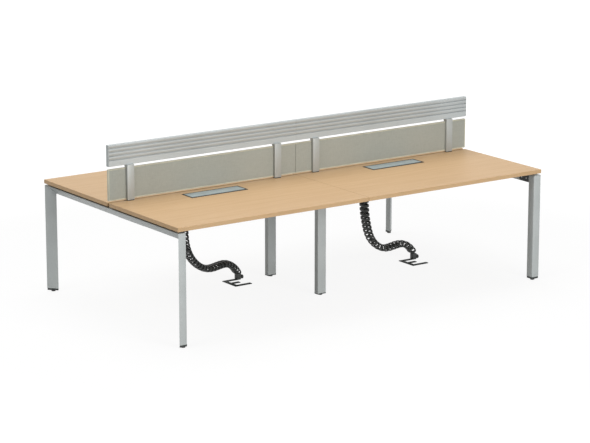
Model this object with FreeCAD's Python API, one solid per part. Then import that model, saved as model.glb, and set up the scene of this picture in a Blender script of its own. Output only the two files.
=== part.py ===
import FreeCAD, Part
import math
import os

os.makedirs("parts", exist_ok=True)

# Bench desk for four people, in millimetres.
# Origin on the floor under the middle of the desk, +X along its length, +Z up.
# The sitter with the screen posts in view faces along +Y.

# Overall sizes
desk_length = 2800
desk_depth = 1600
desk_height = 740

# Screen, above the worktops
screen_height = 360

# Worktops
top_thickness = 25
top_seam = 2
centre_gap = 20
band_thickness = 2
band_ease = 1

# End frames of triangular tube
tube_size = 55
tube_wall = 2.5
tube_ease = 3
frame_inset = 2
shadow_gap = 11

# Middle frame of rectangular tube
mid_leg_length = 65
mid_leg_depth = 39
mid_leg_offset = 282
mid_wall = 2
mid_ease = 2
mid_beam_length = 50
mid_beam_height = 50

# Feet
glide_height = 8
glide_flats = 26
glide_chamfer = 1.5
stem_radius = 4
stem_length = 45
stem_sides = 8
stem_clearance = 0.3
corner_cap_height = 12
mid_cap_height = 6
plug_height = 25
plug_clearance = 0.4

# Long rails under the worktops
rail_depth = 30
rail_height = 50
rail_wall = 2
rail_ease = 1.5
plate_thickness = 5
beam_plate_depth = 95
mid_plate_height = 100
bolt_flats = 13
bolt_head = 5.3
bolt_margin = 12
bolt_pitch = 22

# Spacers between frame and worktops
strip_width = 20
strip_setback = 5
strip_end_gap = 30
pad_length = 40
pad_shares = (0.1, 0.5, 0.9)

# Corner brackets
bracket_length = 88
bracket_gap = 2
bracket_sheet = 3
bracket_flange = 40

# Cable trays and their hangers
tray_start = 60
tray_end_gap = 103
tray_width = 300
tray_height = 70
tray_drop = 115
tray_sheet = 1.5
tray_lip = 8
hanger_width = 30
hanger_sheet = 3
hanger_shares = (0.2, 0.8)

# Access flaps
flap_length = 418
flap_depth = 122
flap_setback = 58
flange_height = 2.5
flange_lap = 7
flange_ease = 3
cutout_clearance = 0.4
collar_wall = 2.5
collar_below = 3
lid_thickness = 4
lid_gap = 0.8
lid_lip_height = 6
lid_lip_thickness = 2
ledge_width = 5
ledge_thickness = 2
ledge_hinge_gap = 12
pin_radius = 1.2
pin_sides = 8
hinge_edge_sides = 4
pin_clearance = 0.3
brush_slot = 13
brush_gap = 1.5
brush_height = 12
brush_holder = 3
brush_tip = 3

# Screen panels and their trim
panel_bottom_gap = 10
rail_gap = 18
panel_thickness = 16
trim_thickness = 18
trim_width = 7

# Screen posts and clamps
post_width = 50
post_depth = 18
post_ease = 2
inner_post_offset = 150
outer_post_setback = 150
saddle_gap = 2
clamp_plate = 4
clamp_width = 44
clamp_reach = 45
clamp_drop = 25
clamp_screw_radius = 3
clamp_screw_sides = 8
clamp_screw_below = 12
clamp_pad_radius = 9
clamp_pad_height = 3
clamp_hole_clearance = 0.4

# Slatted tool rail
tool_rail_height = 134
tool_rail_thickness = 28
tool_rail_ease = 1.5
tool_rail_wall = 2
tool_rail_seam = 1
slot_first = 22
slot_pitch = 24.5
slot_count = 4
slot_mouth = 3.8
slot_lip = 2
slot_width = 9
slot_depth = 6
end_cap_thickness = 3
joiner_length = 200
joiner_clearance = 0.3

# Cable spines
link_pitch = 31
link_ring_length = 84
link_ring_depth = 45
link_ring_wall = 6
link_ring_width = 16
link_ring_start = -2
link_shoulder_share = 0.62
link_slit = 9
link_web = 8
column_radius = 12
column_back = 3
column_front = 15
column_sides = 6
ball_size = 10.6
ball_clearance = 0.6
neck_size = 6.4
socket_depth = 3.5
clip_length = 60
clip_thickness = 4
clip_drop = 25
foot_size = 46
foot_shift = 8
foot_ball_height = 50
foot_shoulder = 8
foot_cup_length = 14
floor_plate_thickness = 4
floor_plate_bar = 20
floor_plate_depth = 160
floor_plate_reach = 130
floor_plate_middle = 84
floor_plate_overhang = 14
knob_radius = 10
knob_length = 13
knob_sides = 12
knob_height = 16
knob_chamfer = 2
knob_stem_radius = 3
knob_stem_sides = 8
knob_stem_length = 16
knob_clearance = 0.3

# Where each spine hangs under its tray, and how far along X its foot stands from there
left_clip_share = 0.6144
left_clip_y = 112
left_foot_reach = 558
left_foot_y = 331
right_clip_share = 0.456
right_clip_y = 58
right_foot_reach = 448
right_foot_y = 90

# Routes of the spines, as shares of the way from clip to foot in X and in Y, and of the drop in Z
left_route_shares = (
    (0, 0, 1),
    (0.016, 0.05, 0.745),
    (0.062, 0.145, 0.555),
    (0.153, 0.26, 0.393),
    (0.292, 0.37, 0.255),
    (0.458, 0.49, 0.18),
    (0.622, 0.61, 0.178),
    (0.778, 0.73, 0.17),
    (0.9, 0.85, 0.105),
    (1, 1, 0),
)
right_route_shares = (
    (0, 0, 1),
    (0.011, 0.1, 0.798),
    (0.032, 0.2, 0.629),
    (0.074, 0.3, 0.472),
    (0.132, 0.4, 0.331),
    (0.256, 0.5, 0.202),
    (0.437, 0.6, 0.129),
    (0.624, 0.7, 0.141),
    (0.816, 0.8, 0.136),
    (0.94, 0.9, 0.067),
    (1, 1, 0),
)

# Derived levels and places
top_underside = desk_height - top_thickness
frame_top = top_underside - shadow_gap
frame_end = desk_length / 2 - frame_inset
frame_inner = frame_end - tube_size
frame_front = desk_depth / 2 - frame_inset
glide_from_corner = tube_size / 3
top_length = (desk_length - top_seam) / 2
rail_bottom = frame_top - rail_height
mid_leg_face = mid_leg_length / 2
tray_bottom = top_underside - tray_drop
trim_face = trim_thickness / 2
panel_bottom = desk_height + panel_bottom_gap
screen_top = desk_height + screen_height
tool_rail_bottom = screen_top - tool_rail_height
panel_top = tool_rail_bottom - rail_gap
outer_post_offset = desk_length / 2 - outer_post_setback
tray_length = frame_inner - tray_end_gap - tray_start
sides = (-1, 1)
overrun = 50


def vector(axis, u, v, along):
    if axis == "x":
        return FreeCAD.Vector(along, u, v)
    if axis == "y":
        return FreeCAD.Vector(u, along, v)
    return FreeCAD.Vector(u, v, along)


def box(x_span, y_span, z_span):
    low = FreeCAD.Vector(min(x_span), min(y_span), min(z_span))
    sizes = [abs(span[1] - span[0]) for span in (x_span, y_span, z_span)]
    return Part.makeBox(*sizes, low)


def polygon_face(axis, outline, level):
    corners = [vector(axis, u, v, level) for u, v in outline]
    return Part.Face(Part.makePolygon(corners + corners[:1]))


def eased(outline, ease):
    # Outline with a flat land across each corner
    points = []
    for number, (u, v) in enumerate(outline):
        for u_end, v_end in (outline[number - 1], outline[(number + 1) % len(outline)]):
            share = ease / math.hypot(u_end - u, v_end - v)
            points.append((u + share * (u_end - u), v + share * (v_end - v)))
    return points


def extrude(face, axis, length):
    return face.extrude(vector(axis, 0, 0, length))


def rectangle(u_span, v_span):
    return [(u_span[0], v_span[0]), (u_span[1], v_span[0]), (u_span[1], v_span[1]), (u_span[0], v_span[1])]


def centred(middle, size):
    return (middle - size / 2, middle + size / 2)


def ring_of_points(radius, count):
    angles = [2 * math.pi * number / count for number in range(count)]
    return [(radius * math.cos(angle), radius * math.sin(angle)) for angle in angles]


def square(size):
    return rectangle(centred(0, size), centred(0, size))


def polygon_rod(axis, radius, count, middle, start, length):
    outline = [(middle[0] + u, middle[1] + v) for u, v in ring_of_points(radius, count)]
    return extrude(polygon_face(axis, outline, start), axis, length)


def around(radius, count):
    # Corner radius of a polygon whose flats clear a circle
    return radius / math.cos(math.pi / count)


def stacked(outlines_by_level):
    # Closed solid of flat faces through like outlines at rising levels
    rows = [[FreeCAD.Vector(u, v, level) for u, v in outline] for level, outline in outlines_by_level]
    loops = [rows[0], rows[-1]]
    for low, high in zip(rows, rows[1:]):
        for number in range(len(low)):
            following = (number + 1) % len(low)
            loops.append([low[number], low[following], high[following], high[number]])
    faces = [Part.Face(Part.makePolygon(loop + loop[:1])) for loop in loops]
    solid = Part.Solid(Part.Shell(faces))
    if solid.Volume < 0:
        solid.reverse()
    return solid


def moved(shape, x, y, z):
    copy = shape.copy()
    copy.translate(FreeCAD.Vector(x, y, z))
    return copy


def mirrored(shape, axis):
    return shape.mirror(FreeCAD.Vector(0, 0, 0), vector(axis, 0, 0, 1))


def fused(*pieces):
    return pieces[0].multiFuse(list(pieces[1:])).removeSplitter()


def save(name, *solids):
    shape = solids[0] if len(solids) == 1 else Part.makeCompound(list(solids))
    shape.exportStep("parts/" + name + ".step")


# Access flap places: one in the middle of each worktop, set back from the centre gap
flap_middle_x = (top_seam + top_length) / 2
flap_middle_y = centre_gap / 2 + flap_setback + flap_depth / 2
cutout_length = flap_length - 2 * flange_lap
cutout_depth = flap_depth - 2 * flange_lap
collar_length = cutout_length - 2 * cutout_clearance
collar_depth = cutout_depth - 2 * cutout_clearance
mouth_length = collar_length - 2 * collar_wall
mouth_depth = collar_depth - 2 * collar_wall


def worktop():
    # Near left board with its flap cut-out
    x_span = (-top_seam / 2 - top_length + band_thickness, -top_seam / 2 - band_thickness)
    y_span = (-desk_depth / 2 + band_thickness, -centre_gap / 2 - band_thickness)
    board = box(x_span, y_span, (top_underside, desk_height))
    cutout_x = centred(-flap_middle_x, cutout_length)
    cutout_y = centred(-flap_middle_y, cutout_depth)
    return board.cut(box(cutout_x, cutout_y, (top_underside - overrun, desk_height + overrun)))


def edge_band():
    # Band round the near left board, with its outer edges eased
    x_span = (-top_seam / 2 - top_length, -top_seam / 2)
    y_span = (-desk_depth / 2, -centre_gap / 2)
    outer = box(x_span, y_span, (top_underside, desk_height))
    outer = outer.makeChamfer(band_ease, outer.Edges)
    inner_x = (x_span[0] + band_thickness, x_span[1] - band_thickness)
    inner_y = (y_span[0] + band_thickness, y_span[1] - band_thickness)
    return outer.cut(box(inner_x, inner_y, (top_underside - overrun, desk_height + overrun)))


def four_corners(shape):
    # Near left, near right, far left and far right copies
    right = mirrored(shape, "x")
    return [shape, right, mirrored(shape, "y"), mirrored(right, "y")]


corner_names = ("front_left", "front_right", "rear_left", "rear_right")
for corner_name, board in zip(corner_names, four_corners(worktop())):
    save(corner_name + "_top", board)
save("top_edge_bands", *four_corners(edge_band()))


# End frames
def triangle(corner, u_way, v_way, size):
    u, v = corner
    return [(u + u_way * size, v), (u, v), (u, v + v_way * size)]


def hollow_triangle(axis, corner, u_way, v_way, level, depth):
    # Right-triangle section sunk in from the tube's outline by a depth
    inside = (corner[0] + u_way * depth, corner[1] + v_way * depth)
    size = tube_size - depth * (2 + math.sqrt(2))
    outline = triangle(inside, u_way, v_way, size)
    if depth == 0:
        outline = eased(outline, tube_ease)
    return polygon_face(axis, outline, level)


def tube_section(axis, corner, u_way, v_way, level):
    outer = hollow_triangle(axis, corner, u_way, v_way, level, 0)
    return outer.cut(hollow_triangle(axis, corner, u_way, v_way, level, tube_wall))


leg_corner = (-frame_inner, -frame_front)
beam_corner = (-frame_inner, frame_top)
corner_leg_bottom = glide_height + corner_cap_height


def corner_leg():
    # Near left leg, its top cut to the mitre
    tube = extrude(tube_section("z", leg_corner, -1, 1, corner_leg_bottom), "z", frame_top - corner_leg_bottom)
    mitre_side = [
        (-frame_front - overrun, corner_leg_bottom - overrun),
        (-frame_front + tube_size + overrun, corner_leg_bottom - overrun),
        (-frame_front + tube_size + overrun, frame_top - tube_size - overrun),
        (-frame_front - overrun, frame_top + overrun),
    ]
    keep = polygon_face("x", mitre_side, -frame_end - overrun)
    return tube.common(extrude(keep, "x", tube_size + 2 * overrun))


def end_beam():
    # Left beam, mitred to both legs
    tube = extrude(tube_section("y", beam_corner, -1, -1, -frame_front), "y", 2 * frame_front)
    low = frame_top - tube_size - overrun
    mitre_side = [
        (-frame_front, frame_top),
        (frame_front, frame_top),
        (frame_front - tube_size - overrun, low),
        (-frame_front + tube_size + overrun, low),
    ]
    keep = polygon_face("x", mitre_side, -frame_end - overrun)
    return tube.common(extrude(keep, "x", tube_size + 2 * overrun))


leg_names = ("left_front_leg", "right_front_leg", "left_rear_leg", "right_rear_leg")
for leg_name, leg in zip(leg_names, four_corners(corner_leg())):
    save(leg_name, leg)
save("left_beam", end_beam())
save("right_beam", mirrored(end_beam(), "x"))


# Middle frame
def rectangular_tube(axis, u_span, v_span, wall, ease, start, length):
    outer = polygon_face(axis, eased(rectangle(u_span, v_span), ease), start)
    inner_u = (u_span[0] + wall, u_span[1] - wall)
    inner_v = (v_span[0] + wall, v_span[1] - wall)
    hollow = polygon_face(axis, rectangle(inner_u, inner_v), start)
    return extrude(outer.cut(hollow), axis, length)


mid_leg_bottom = glide_height + mid_cap_height
mid_x = centred(0, mid_leg_length)
mid_y = centred(-mid_leg_offset, mid_leg_depth)
mid_leg = rectangular_tube("z", mid_x, mid_y, mid_wall, mid_ease, mid_leg_bottom, frame_top - mid_leg_bottom)
save("mid_front_leg", mid_leg)
save("mid_rear_leg", mirrored(mid_leg, "y"))
mid_beam_span = 2 * mid_leg_offset - mid_leg_depth
mid_beam_x = centred(0, mid_beam_length)
mid_beam_z = (frame_top - mid_beam_height, frame_top)
mid_beam = rectangular_tube("y", mid_beam_x, mid_beam_z, mid_wall, mid_ease, -mid_beam_span / 2, mid_beam_span)
save("mid_beam", mid_beam)


# Leg end caps and levelling glides
def bored(cap, x, y, height):
    bore_radius = around(stem_radius + stem_clearance, stem_sides)
    return cap.cut(polygon_rod("z", bore_radius, stem_sides, (x, y), -overrun, height + 2 * overrun))


corner_glide_x = -frame_inner - glide_from_corner
corner_glide_y = -frame_front + glide_from_corner
corner_flange = extrude(hollow_triangle("z", leg_corner, -1, 1, glide_height, 0), "z", corner_cap_height)
corner_plug_face = hollow_triangle("z", leg_corner, -1, 1, corner_leg_bottom, tube_wall + plug_clearance)
corner_plug = extrude(corner_plug_face, "z", plug_height)
corner_cap = corner_flange.fuse(corner_plug)
corner_cap = bored(corner_cap, corner_glide_x, corner_glide_y, corner_leg_bottom + plug_height)

mid_flange_face = polygon_face("z", eased(rectangle(mid_x, mid_y), mid_ease), glide_height)
plug_inset = mid_wall + plug_clearance
plug_x = centred(0, mid_leg_length - 2 * plug_inset)
plug_y = centred(-mid_leg_offset, mid_leg_depth - 2 * plug_inset)
mid_plug_face = polygon_face("z", rectangle(plug_x, plug_y), mid_leg_bottom)
mid_cap = extrude(mid_flange_face, "z", mid_cap_height).fuse(extrude(mid_plug_face, "z", plug_height))
mid_cap = bored(mid_cap, 0, -mid_leg_offset, mid_leg_bottom + plug_height)
save("leg_end_caps", *four_corners(corner_cap), mid_cap, mirrored(mid_cap, "y"))

glide_radius = around(glide_flats / 2, 6)
foot_outline = ring_of_points(glide_radius, 6)
foot_edge = ring_of_points(glide_radius - glide_chamfer, 6)
glide_foot = stacked([(0, foot_edge), (glide_chamfer, foot_outline), (glide_height, foot_outline)])
glide_stem = polygon_rod("z", stem_radius, stem_sides, (0, 0), glide_height, stem_length)
glide = fused(glide_foot, glide_stem)
for side, side_name in zip(sides, ("front", "rear")):
    save("left_" + side_name + "_glide", moved(glide, corner_glide_x, -side * corner_glide_y, 0))
    save("mid_" + side_name + "_glide", moved(glide, 0, side * mid_leg_offset, 0))
    save("right_" + side_name + "_glide", moved(glide, -corner_glide_x, -side * corner_glide_y, 0))


# Long rails with their end plates and bolts
rail_start = mid_leg_face + plate_thickness
rail_end = frame_inner - plate_thickness
rail_y = centred(-mid_leg_offset, rail_depth)
rail_z = (rail_bottom, frame_top)
rail = rectangular_tube("x", rail_y, rail_z, rail_wall, rail_ease, -rail_end, rail_end - rail_start)
for corner_name, copy in zip(corner_names, four_corners(rail)):
    save(corner_name + "_rail", copy)

beam_plate = box((-frame_inner, -rail_end), centred(-mid_leg_offset, beam_plate_depth), rail_z)
mid_plate_bottom = frame_top - mid_plate_height
mid_plate = box((-rail_start, -mid_leg_face), mid_y, (mid_plate_bottom, frame_top))
save("rail_end_plates", *four_corners(beam_plate), *four_corners(mid_plate))


def bolt(y, z, start):
    # Hexagon head along X
    return polygon_rod("x", around(bolt_flats / 2, 6), 6, (y, z), start, bolt_head)


bolts = []
for side in sides:
    bolt_y = -mid_leg_offset + side * (beam_plate_depth / 2 - bolt_margin)
    bolts += four_corners(bolt(bolt_y, rail_bottom + rail_height / 2, -rail_end))
for number in (0, 1):
    bolt_z = mid_plate_bottom + bolt_margin + number * bolt_pitch
    bolts += four_corners(bolt(-mid_leg_offset, bolt_z, -rail_start - bolt_head))
save("rail_bolts", *bolts)


# Spacers: a strip on each half of an end beam, and pads along the rails
strip_x = (-frame_inner - strip_setback - strip_width, -frame_inner - strip_setback)
strip_y = (-frame_front + strip_end_gap, -centre_gap / 2 - strip_end_gap)
spacers = four_corners(box(strip_x, strip_y, (frame_top, top_underside)))
for share in pad_shares:
    pad_middle = -rail_start - share * (rail_end - rail_start)
    pad = box(centred(pad_middle, pad_length), rail_y, (frame_top, top_underside))
    spacers += four_corners(pad)
save("top_spacers", *spacers)

# Corner brackets: an angle against the beam's inner face, its flange under the worktop
bracket_start = -frame_front + tube_size + bracket_gap
bracket_low = frame_top - tube_size + bracket_sheet
bracket_outline = [
    (-frame_inner, bracket_low),
    (-frame_inner + bracket_sheet, bracket_low),
    (-frame_inner + bracket_sheet, top_underside - bracket_sheet),
    (-frame_inner + bracket_flange, top_underside - bracket_sheet),
    (-frame_inner + bracket_flange, top_underside),
    (-frame_inner, top_underside),
]
bracket = extrude(polygon_face("y", bracket_outline, bracket_start), "y", bracket_length)
save("top_brackets", *four_corners(bracket))


# Cable trays in hangers slung between the rails
def trough_outline():
    half = tray_width / 2
    inner = half - tray_sheet
    top = tray_bottom + tray_height
    right = [
        (half, tray_bottom),
        (half, top),
        (half - tray_lip, top),
        (half - tray_lip, top - tray_sheet),
        (inner, top - tray_sheet),
        (inner, tray_bottom + tray_sheet),
    ]
    return right + [(-u, v) for u, v in reversed(right)]


def hanger_outline():
    inner = tray_width / 2
    outer = inner + hanger_sheet
    tab = mid_leg_offset + rail_depth / 2
    right = [
        (outer, tray_bottom - hanger_sheet),
        (outer, rail_bottom - hanger_sheet),
        (tab, rail_bottom - hanger_sheet),
        (tab, rail_bottom),
        (inner, rail_bottom),
        (inner, tray_bottom),
    ]
    return right + [(-u, v) for u, v in reversed(right)]


tray = extrude(polygon_face("x", trough_outline(), -tray_start - tray_length), "x", tray_length)
save("left_cable_tray", tray)
save("right_cable_tray", mirrored(tray, "x"))
hangers = []
for share in hanger_shares:
    hanger_start = -tray_start - share * tray_length - hanger_width / 2
    hanger = extrude(polygon_face("x", hanger_outline(), hanger_start), "x", hanger_width)
    hangers += [hanger, mirrored(hanger, "x")]
save("tray_hangers", *hangers)


# Access flaps, modelled in the near left worktop
lid_top = desk_height + flange_height
lid_bottom = lid_top - lid_thickness
hinge_z = lid_top - lid_thickness / 2
mouth_front = -flap_middle_y - mouth_depth / 2
mouth_rear = -flap_middle_y + mouth_depth / 2
hinge_y = mouth_rear - lid_gap - lid_thickness / 2
lid_front = mouth_front + brush_slot
lid_length = mouth_length - 2 * lid_gap
collar_bottom = top_underside - collar_below
mouth_x = centred(-flap_middle_x, mouth_length)
collar_x = centred(-flap_middle_x, collar_length)


def flap_frame():
    flange_outline = rectangle(centred(-flap_middle_x, flap_length), centred(-flap_middle_y, flap_depth))
    flange = extrude(polygon_face("z", eased(flange_outline, flange_ease), desk_height), "z", flange_height)
    collar_y = centred(-flap_middle_y, collar_depth)
    collar = box(collar_x, collar_y, (collar_bottom, desk_height))
    mouth_y = (mouth_front, mouth_rear)
    frame = fused(flange, collar).cut(box(mouth_x, mouth_y, (collar_bottom - overrun, lid_top + overrun)))
    ledge_y = (mouth_front, hinge_y - ledge_hinge_gap)
    ledge_z = (lid_bottom - ledge_thickness, lid_bottom)
    left_ledge = box((mouth_x[0], mouth_x[0] + ledge_width), ledge_y, ledge_z)
    right_ledge = box((mouth_x[1] - ledge_width, mouth_x[1]), ledge_y, ledge_z)
    frame = fused(frame, left_ledge, right_ledge)
    hole_radius = around(pin_radius + pin_clearance, pin_sides)
    hole_start = collar_x[0] - cutout_clearance
    hole_length = collar_length + 2 * cutout_clearance
    return frame.cut(polygon_rod("x", hole_radius, pin_sides, (hinge_y, hinge_z), hole_start, hole_length))


def flap_lid():
    # Plate with a rounded hinge edge, a grip lip along its front and a stub pin at each end
    hinge_edge = []
    for number in range(hinge_edge_sides + 1):
        angle = math.pi * (number / hinge_edge_sides - 0.5)
        reach = lid_thickness / 2
        hinge_edge.append((hinge_y + reach * math.cos(angle), hinge_z + reach * math.sin(angle)))
    outline = hinge_edge + [(lid_front, lid_top), (lid_front, lid_bottom)]
    plate = extrude(polygon_face("x", outline, -flap_middle_x - lid_length / 2), "x", lid_length)
    lip_x = centred(-flap_middle_x, mouth_length - 2 * (ledge_width + lid_gap))
    lip_y = (lid_front, lid_front + lid_lip_thickness)
    lip = box(lip_x, lip_y, (lid_bottom - lid_lip_height, lid_bottom))
    pin = polygon_rod("x", pin_radius, pin_sides, (hinge_y, hinge_z), collar_x[0], collar_length)
    return fused(plate, lip, pin)


def flap_brush():
    # Holder against the front wall, bristles fanning out to a thin edge
    tip_y = lid_front - brush_gap
    brush_top = hinge_z
    outline = [
        (mouth_front, brush_top - brush_height),
        (mouth_front + brush_holder, brush_top - brush_height),
        (mouth_front + brush_holder, brush_top - brush_height / 2),
        (tip_y, brush_top - brush_tip),
        (tip_y, brush_top),
        (mouth_front, brush_top),
    ]
    brush_length = mouth_length - 2 * (ledge_width + lid_gap)
    start = -flap_middle_x - brush_length / 2
    return extrude(polygon_face("x", outline, start), "x", brush_length)


for corner_name, frame, lid in zip(corner_names, four_corners(flap_frame()), four_corners(flap_lid())):
    save(corner_name + "_flap_frame", frame)
    save(corner_name + "_flap_lid", lid)
save("flap_brushes", *four_corners(flap_brush()))

# Screen panels, with a trim along the top, the bottom and the outer end
panel_y = centred(0, panel_thickness)
trim_end = -desk_length / 2
seam_edge = -top_seam / 2
trim_outline = [
    (seam_edge, panel_bottom),
    (trim_end, panel_bottom),
    (trim_end, panel_top),
    (seam_edge, panel_top),
    (seam_edge, panel_top - trim_width),
    (trim_end + trim_width, panel_top - trim_width),
    (trim_end + trim_width, panel_bottom + trim_width),
    (seam_edge, panel_bottom + trim_width),
]
trim = extrude(polygon_face("y", trim_outline, -trim_face), "y", trim_thickness)
panel_z = (panel_bottom + trim_width, panel_top - trim_width)
panel = box((trim_end + trim_width, seam_edge), panel_y, panel_z)
save("left_screen_panel", panel)
save("right_screen_panel", mirrored(panel, "x"))
save("panel_trims", trim, mirrored(trim, "x"))

# Screen posts: an upright before the panel and a saddle over it that carries the tool rail
post_rear = -trim_face
post_front = post_rear - post_depth
post_foot = desk_height + clamp_plate
posts = []
clamps = []
clamp_screws = []
clamp_web_rear = -trim_face + clamp_plate
jaw_top = top_underside - clamp_drop
jaw_bottom = jaw_top - clamp_plate
clamp_outline = [
    (post_front, desk_height),
    (post_front, post_foot),
    (clamp_web_rear, post_foot),
    (clamp_web_rear, jaw_bottom),
    (clamp_web_rear - clamp_reach, jaw_bottom),
    (clamp_web_rear - clamp_reach, jaw_top),
    (-trim_face, jaw_top),
    (-trim_face, desk_height),
]
screw_y = clamp_web_rear - clamp_reach + clamp_pad_radius
for offset in (inner_post_offset, outer_post_offset):
    for side in sides:
        post_x = side * offset
        across = centred(post_x, post_width)
        upright_outline = [
            (across[0], post_rear),
            (across[0], post_front + post_ease),
            (across[0] + post_ease, post_front),
            (across[1] - post_ease, post_front),
            (across[1], post_front + post_ease),
            (across[1], post_rear),
        ]
        upright = extrude(polygon_face("z", upright_outline, post_foot), "z", tool_rail_bottom - post_foot)
        saddle = box(across, (post_rear, trim_face), (panel_top + saddle_gap, tool_rail_bottom))
        posts.append(fused(upright, saddle))
        screw_place = (post_x, screw_y)
        hole_radius = around(clamp_screw_radius + clamp_hole_clearance, clamp_screw_sides)
        hole_start = jaw_bottom - overrun
        hole_length = clamp_drop + overrun
        jaw_hole = polygon_rod("z", hole_radius, clamp_screw_sides, screw_place, hole_start, hole_length)
        clamp = extrude(polygon_face("x", clamp_outline, post_x - clamp_width / 2), "x", clamp_width)
        clamps.append(clamp.cut(jaw_hole))
        screw_bottom = jaw_bottom - clamp_screw_below
        pad_bottom = top_underside - clamp_pad_height
        screw_length = pad_bottom - screw_bottom
        screw = polygon_rod("z", clamp_screw_radius, clamp_screw_sides, screw_place, screw_bottom, screw_length)
        pad_sides = clamp_screw_sides
        clamp_pad = polygon_rod("z", clamp_pad_radius, pad_sides, screw_place, pad_bottom, clamp_pad_height)
        clamp_screws.append(fused(screw, clamp_pad))
save("screen_posts", *posts)
save("post_clamps", *clamps)
save("clamp_screws", *clamp_screws)


# Tool rail: a hollow extrusion with hooked slots down both faces
def slot_outline(level, way):
    face = way * tool_rail_thickness / 2
    lip = face - way * slot_lip
    back = face - way * slot_depth
    outside = face + way * slot_lip
    return [
        (outside, level - slot_mouth / 2),
        (lip, level - slot_mouth / 2),
        (lip, level - slot_width / 2),
        (back, level - slot_width / 2),
        (back, level + slot_width / 2),
        (lip, level + slot_width / 2),
        (lip, level + slot_mouth / 2),
        (outside, level + slot_mouth / 2),
    ]


slot_levels = [screen_top - slot_first - number * slot_pitch for number in range(slot_count)]
tool_rail_end = -desk_length / 2 + end_cap_thickness
tool_rail_length = -tool_rail_seam / 2 - tool_rail_end
tool_rail_y = centred(0, tool_rail_thickness)
tool_rail_outline = eased(rectangle(tool_rail_y, (tool_rail_bottom, screen_top)), tool_rail_ease)
rail_section = polygon_face("x", tool_rail_outline, tool_rail_end)
for level in slot_levels:
    for side in sides:
        rail_section = rail_section.cut(polygon_face("x", slot_outline(level, side), tool_rail_end))
chamber_half = tool_rail_thickness / 2 - tool_rail_wall
chamber_y = (-chamber_half, chamber_half)
chamber_ends = [screen_top] + slot_levels + [tool_rail_bottom]
for number in range(slot_count + 1):
    above = tool_rail_wall if number == 0 else slot_width / 2 + tool_rail_wall
    below = tool_rail_wall if number == slot_count else slot_width / 2 + tool_rail_wall
    chamber_z = (chamber_ends[number + 1] + below, chamber_ends[number] - above)
    rail_section = rail_section.cut(polygon_face("x", rectangle(chamber_y, chamber_z), tool_rail_end))
tool_rail = extrude(rail_section, "x", tool_rail_length)
save("left_tool_rail", tool_rail)
save("right_tool_rail", mirrored(tool_rail, "x"))

rail_cap = extrude(polygon_face("x", tool_rail_outline, -desk_length / 2), "x", end_cap_thickness)
save("tool_rail_caps", rail_cap, mirrored(rail_cap, "x"))
joiner_y = (-chamber_half + joiner_clearance, chamber_half - joiner_clearance)
joiner_z = (chamber_z[0], chamber_z[1] - joiner_clearance)
save("tool_rail_joiner", box(centred(0, joiner_length), joiner_y, joiner_z))


# Cable spines: links whose ball sits in the socket of the next
def ball(start):
    # Neck from a start level that flares to the ball's widest, one pitch along
    return stacked([(start, square(neck_size)), (link_pitch, square(ball_size))])


def socket():
    outline = square(ball_size + 2 * ball_clearance)
    return stacked([(-column_back - overrun, outline), (socket_depth, outline)])


def column(end):
    # Six-sided, with a flat to each side where the web meets it
    outline = ring_of_points(column_radius, column_sides)
    return stacked([(-column_back, outline), (end, outline)])


def half_oval(length, depth):
    # Flat side and two sloped shoulders, from slit to slit
    end, side = length / 2, depth / 2
    quarter = [(end, link_slit / 2), (end * link_shoulder_share, side)]
    return quarter + [(-x, y) for x, y in reversed(quarter)]


def spine_link():
    # Column along +Z with its socket at the origin, webbed to an oval ring that opens at both ends
    outer = half_oval(link_ring_length, link_ring_depth)
    inner = half_oval(link_ring_length - 2 * link_ring_wall, link_ring_depth - 2 * link_ring_wall)
    half_ring = polygon_face("z", outer + inner[::-1], link_ring_start)
    half_ring = extrude(half_ring, "z", link_ring_width)
    web_z = (link_ring_start, link_ring_start + link_ring_width)
    web = box(centred(0, link_web), centred(0, link_ring_depth - link_ring_wall), web_z)
    return fused(column(column_front), half_ring, mirrored(half_ring, "y"), web, ball(column_front)).cut(socket())


def aligned(shape, place, direction):
    # Shape's +Z turned along a direction, its +X kept as near to +Y as that allows
    along = FreeCAD.Vector(direction).normalize()
    across = FreeCAD.Vector(0, 1, 0)
    turn = FreeCAD.Rotation(across, along.cross(across), along, "ZXY")
    copy = shape.copy()
    copy.Placement = FreeCAD.Placement(place, turn)
    return copy


def spine_places(side, clip_share, clip_y, foot_reach, foot_y):
    clip_x = side * (tray_start + clip_share * tray_length)
    return (clip_x, clip_y, clip_x + foot_reach, foot_y)


def spine_stations(places, route_shares):
    # Ball centres from clip to foot, evenly spaced along a smooth route
    clip_x, clip_y, foot_x, foot_y = places
    clip_z = tray_bottom - clip_drop
    points = []
    for x_share, y_share, z_share in route_shares:
        x = clip_x + x_share * (foot_x - foot_shift - clip_x)
        y = clip_y + y_share * (foot_y - clip_y)
        z = foot_ball_height + z_share * (clip_z - foot_ball_height)
        points.append(FreeCAD.Vector(x, y, z))
    route = Part.BSplineCurve()
    route.interpolate(points)
    link_count = round(route.length() / link_pitch)
    return route.toShape().discretize(Number=link_count + 1)


def spine_clip(place):
    # Plate under the tray with a hanging ball
    plate_z = (tray_bottom - clip_thickness, tray_bottom)
    plate = box(centred(place.x, clip_length), centred(place.y, clip_length), plate_z)
    hanging_ball = ball(link_pitch - clip_drop + clip_thickness)
    ball_top = place + FreeCAD.Vector(0, 0, link_pitch)
    return fused(plate, aligned(hanging_ball, ball_top, FreeCAD.Vector(0, 0, -1)))


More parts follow.
